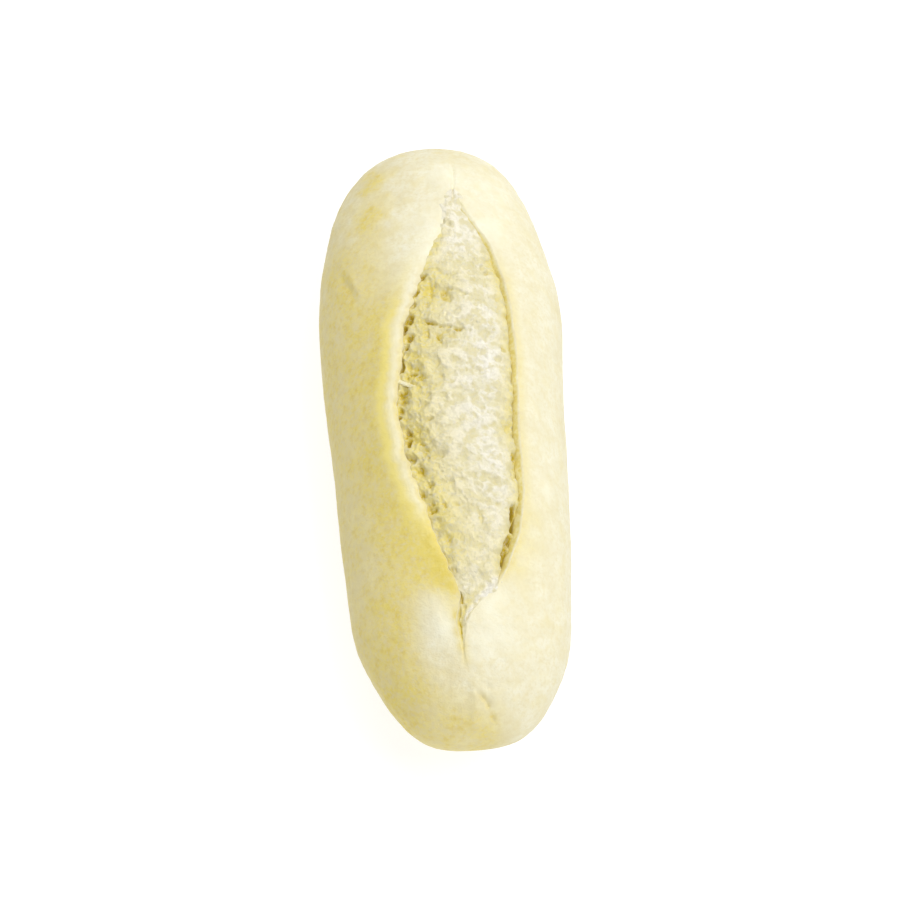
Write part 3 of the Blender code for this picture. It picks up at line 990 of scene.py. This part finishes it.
def spread(tree, value, start, end, first=0.0, last=1.0):
    """Stretches a value's range from start and end to first and last."""
    ranger = tree.nodes.new("ShaderNodeMapRange")
    ranger.inputs["From Min"].default_value = start
    ranger.inputs["From Max"].default_value = end
    ranger.inputs["To Min"].default_value = first
    ranger.inputs["To Max"].default_value = last
    tree.links.new(value, ranger.inputs["Value"])
    return ranger.outputs["Result"]


def blend(tree, amount, first, second):
    """Mixes two colours, each a socket or a colour of its own."""
    mixer = tree.nodes.new("ShaderNodeMix")
    mixer.data_type = "RGBA"
    tree.links.new(amount, mixer.inputs["Factor"])
    for socket, colour in (("A", first), ("B", second)):
        target = [s for s in mixer.inputs if s.name == socket and s.type == "RGBA"][0]
        if isinstance(colour, tuple):
            target.default_value = (*colour, 1)
        else:
            tree.links.new(colour, target)
    return [s for s in mixer.outputs if s.type == "RGBA"][0]


def combine(tree, operation, first, second):
    """One math node on two values, each a socket or a number."""
    maths = tree.nodes.new("ShaderNodeMath")
    maths.operation = operation
    for socket, value in zip(maths.inputs, (first, second)):
        if isinstance(value, (int, float)):
            socket.default_value = value
        else:
            tree.links.new(value, socket)
    return maths.outputs["Value"]


def bump(tree, shader, height, distance):
    """Bumps the shader's surface by a height between 0 and 1, with this distance in mm."""
    bumper = tree.nodes.new("ShaderNodeBump")
    bumper.inputs["Strength"].default_value = 1.0
    bumper.inputs["Distance"].default_value = distance * MM
    tree.links.new(height, bumper.inputs["Height"])
    tree.links.new(bumper.outputs["Normal"], shader.inputs["Normal"])


# %% Crust
# The floury colour is flour and painted light.
CREAM, PALE_CREAM, FLOUR_AND_LIGHT = (0.80, 0.74, 0.51), (0.85, 0.81, 0.62), (0.92, 0.89, 0.70)
# The bright gold is partly painted light, on the shoulder beside the left lip.
GOLD, DEEP_GOLD, LIT_GOLD = (0.79, 0.66, 0.18), (0.71, 0.55, 0.13), (0.92, 0.79, 0.25)
RICH_GOLD, SPECKS = (0.74, 0.60, 0.13), (0.75, 0.66, 0.38)
# The deep dough colour is painted shade, at the bottom of the slit.
TORN_DOUGH, TORN_PALE, DOUGH_IN_SHADE = (0.73, 0.62, 0.20), (0.79, 0.71, 0.36), (0.50, 0.37, 0.03)


def crust_material():
    """Pale baked skin with soft mottling, gold and painted shade, painted light on the bright strip
    and with the flour, torn at the walls, painted shade at the bottom of the slit.
    """
    material, tree, shader = material_tree("crust")
    mottling = spread(tree, grain(tree, 6.0), 0.35, 0.65)
    skin = blend(tree, mottling, CREAM, PALE_CREAM)
    blotches = spread(tree, grain(tree, 4.0, 4.0), 0.50, 0.68, 0.0, 0.2)
    skin = blend(tree, blotches, skin, GOLD)
    # gold, with painted shade on the left side and in the creases
    gold_and_shade = attribute(tree, "gold_and_shade")
    skin = blend(tree, gold_and_shade, skin, GOLD)
    freckles = spread(tree, grain(tree, 1.7, 3.0), 0.48, 0.68, 0.0, 0.7)
    skin = blend(tree, combine(tree, "MULTIPLY", freckles, gold_and_shade), skin, DEEP_GOLD)
    for size, amount in ((0.9, 0.6), (2.0, 0.45), (5.0, 0.4)):
        specks = spread(tree, grain(tree, size, 2.0), 0.48, 0.70, 0.0, amount)
        skin = blend(tree, specks, skin, SPECKS)
    # painted light: the bright strip beside the left lip is painted lighter gold
    skin = blend(tree, attribute(tree, "lit_gold_band"), skin, LIT_GOLD)
    uneven = spread(tree, grain(tree, 1.4, 3.0), 0.4, 0.6, 0.45, 1.0)
    rich = combine(tree, "MULTIPLY", attribute(tree, "rich"), uneven)
    skin = blend(tree, rich, skin, RICH_GOLD)
    # flour, and painted light on the bead, the ridge, the far tip and the right side
    skin = blend(tree, attribute(tree, "flour_and_light"), skin, FLOUR_AND_LIGHT)
    torn = blend(tree, spread(tree, grain(tree, 1.2, 3.0), 0.4, 0.62), TORN_DOUGH, TORN_PALE)
    # painted shade at the bottom of the slit
    torn = blend(tree, attribute(tree, "deep"), torn, DOUGH_IN_SHADE)
    skin = blend(tree, attribute(tree, "torn"), skin, torn)
    tree.links.new(skin, shader.inputs["Base Color"])
    shader.inputs["Roughness"].default_value = 0.65
    shader.inputs["Specular IOR Level"].default_value = 0.25
    fine = combine(tree, "MULTIPLY", grain(tree, 0.5, 4.0), 0.6)
    bump(tree, shader, combine(tree, "ADD", fine, grain(tree, 1.6, 3.0)), 0.2)
    return material


crust.data.materials.append(crust_material())

# %% Crumb
CRUMB_WALL, CRUMB_MEAN = (0.89, 0.86, 0.77), (0.76, 0.72, 0.54)
# The ochre and pit colours are painted shade in hollows and pits, and the toast colour is toasting
# with painted shade.
OCHRE_HOLLOW_SHADE, CRUMB_PIT_SHADE = (0.74, 0.61, 0.15), (0.54, 0.40, 0.02)
TOAST_AND_SHADE, TAN, SHADE = (0.77, 0.66, 0.22), (0.71, 0.64, 0.36), (0.71, 0.67, 0.52)


def crumb_material():
    """Near white bubble walls, with painted shade in the pits, hollows and crevices and painted
    light on raised crumb; toasting and painted shade towards the left lip.
    """
    material, tree, shader = material_tree("crumb")
    # painted shade in pits, hollows and crevices, and painted light on raised crumb
    pit_shade = attribute(tree, "pit_shade")
    shade = blend(tree, spread(tree, pit_shade, 0.0, 0.35), CRUMB_WALL, CRUMB_MEAN)
    # toasting and painted shade beside the lips
    toast_and_shade = combine(tree, "MULTIPLY", attribute(tree, "toast_and_shade"), 0.9)
    shade = blend(tree, toast_and_shade, shade, TOAST_AND_SHADE)
    blotches = spread(tree, grain(tree, 2.6, 2.5), 0.47, 0.6, 0.0, 0.78)
    shade = blend(tree, blotches, shade, TAN)
    # painted shade in the hollows
    hollow_shade = blend(tree, attribute(tree, "toast_and_shade"), TAN, OCHRE_HOLLOW_SHADE)
    shade = blend(tree, spread(tree, pit_shade, 0.35, 0.8), shade, hollow_shade)
    shade = blend(tree, spread(tree, pit_shade, 0.75, 1.05), shade, CRUMB_PIT_SHADE)
    flecks = spread(tree, grain(tree, 0.9, 3.0), 0.5, 0.68, 0.0, 0.6)
    shade = blend(tree, flecks, shade, SHADE)
    tree.links.new(shade, shader.inputs["Base Color"])
    shader.inputs["Roughness"].default_value = 0.85
    shader.inputs["Specular IOR Level"].default_value = 0.2
    fine = combine(tree, "MULTIPLY", grain(tree, 0.3, 4.0), 0.6)
    bump(tree, shader, combine(tree, "ADD", fine, grain(tree, 0.9, 4.0)), 0.24)
    return material


crumb.data.materials.append(crumb_material())

# %% Strand
STRAND = (0.87, 0.82, 0.58)


def strand_material():
    """Stretched dough, smoother than the crumb, and as pale as the lip it hangs from."""
    material, tree, shader = material_tree("strand")
    shade = blend(tree, spread(tree, grain(tree, 0.8, 2.0), 0.4, 0.65), STRAND, TORN_PALE)
    tree.links.new(shade, shader.inputs["Base Color"])
    shader.inputs["Roughness"].default_value = 0.7
    shader.inputs["Specular IOR Level"].default_value = 0.2
    bump(tree, shader, grain(tree, 0.4, 3.0), 0.1)
    return material


strand.data.materials.append(strand_material())

# %% [markdown]
# ## Hand the pieces to the frame
#
# All three pieces stand for the one solid, so they ride on its body and replace it.

# %% Ride and replace
for piece, finish in ((crust, "crust"), (crumb, "crumb"), (strand, "crumb")):
    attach(piece, "root")
    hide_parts("sub_roll")

# %% [markdown]
# ## Floor, light and camera
#
# A white table that glows a little of its own, a large soft lamp from the upper right, a
# weaker one over each end of the roll, and a bright surround: light from so many sides
# leaves hardly a shadow. The camera looks steeply down, and its long lens keeps the far tip
# as large as the near one.

# %% Floor
FLOOR_HALF_SIZE, FLOOR_GAP = 3.0, 0.02 * MM
tiles = bmesh.new()
bmesh.ops.create_grid(tiles, x_segments=2, y_segments=2, size=FLOOR_HALF_SIZE)
bmesh.ops.translate(tiles, verts=tiles.verts, vec=(0, 0, -FLOOR_GAP))
floor_mesh = bpy.data.meshes.new("floor")
tiles.to_mesh(floor_mesh)
tiles.free()
floor = bpy.data.objects.new("floor", floor_mesh)
bpy.context.scene.collection.objects.link(floor)
floor_material, floor_tree, floor_shader = material_tree("floor")
floor_shader.inputs["Base Color"].default_value = (0.42, 0.42, 0.42, 1)
floor_shader.inputs["Emission Color"].default_value = (1.0, 1.0, 1.0, 1)
floor_shader.inputs["Emission Strength"].default_value = 0.7
floor_shader.inputs["Roughness"].default_value = 0.9
floor_mesh.materials.append(floor_material)
floor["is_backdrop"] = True


# %% Light
LAMP_DISTANCE, LAMP_SIZE = 1.8, 1.2


def softbox(name, towards, power):
    """A square white lamp that shines at the roll from this direction."""
    lamp = bpy.data.lights.new(name, "AREA")
    lamp.size = LAMP_SIZE
    lamp.energy = power
    holder = bpy.data.objects.new(name, lamp)
    holder.location = Vector(towards).normalized() * LAMP_DISTANCE
    holder.rotation_euler = Vector(towards).to_track_quat("Z", "Y").to_euler()
    bpy.context.scene.collection.objects.link(holder)


softbox("key", (0.6, 0.0, 1.0), 14.6)
softbox("near", (0.0, -0.9, 1.0), 7.0)
softbox("far", (0.0, 0.9, 1.0), 10.6)
world = bpy.data.worlds.new("surround")
world.use_nodes = True
surround = world.node_tree.nodes["Background"]
surround.inputs["Color"].default_value = (1.0, 1.0, 1.0, 1)
surround.inputs["Strength"].default_value = 0.42
bpy.context.scene.world = world
bpy.context.scene.view_settings.view_transform = "Standard"

# %% Camera
CAMERA_AZIMUTH, CAMERA_ELEVATION = math.radians(-4.26), math.radians(65)
CAMERA_DISTANCE, CAMERA_LENS, SENSOR_WIDTH = 0.8, 123.2, 36
CAMERA_TARGET = Vector((-0.07, -3.60, 20.32)) * MM
level = math.cos(CAMERA_ELEVATION)
back = Vector((
    math.sin(CAMERA_AZIMUTH) * level,
    -math.cos(CAMERA_AZIMUTH) * level,
    math.sin(CAMERA_ELEVATION),
))
lens = bpy.data.cameras.new("camera")
lens.lens = CAMERA_LENS
lens.sensor_width = SENSOR_WIDTH
lens.clip_start, lens.clip_end = 0.01, 20
camera = bpy.data.objects.new("camera", lens)
camera.location = CAMERA_TARGET + back * CAMERA_DISTANCE
camera.rotation_euler = back.to_track_quat("Z", "Y").to_euler()
bpy.context.scene.collection.objects.link(camera)
bpy.context.scene.camera = camera

# %% [markdown]
# ## Compare the boxes
#
# Both boxes are printed, the solid's and the dressed one's.

# %% Finish
bpy.context.view_layer.update()
dressed_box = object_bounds()
for name, box in (("solid", solid_box), ("dressed", dressed_box)):
    print(name, [[round(v / MM, 2) for v in corner] for corner in box])
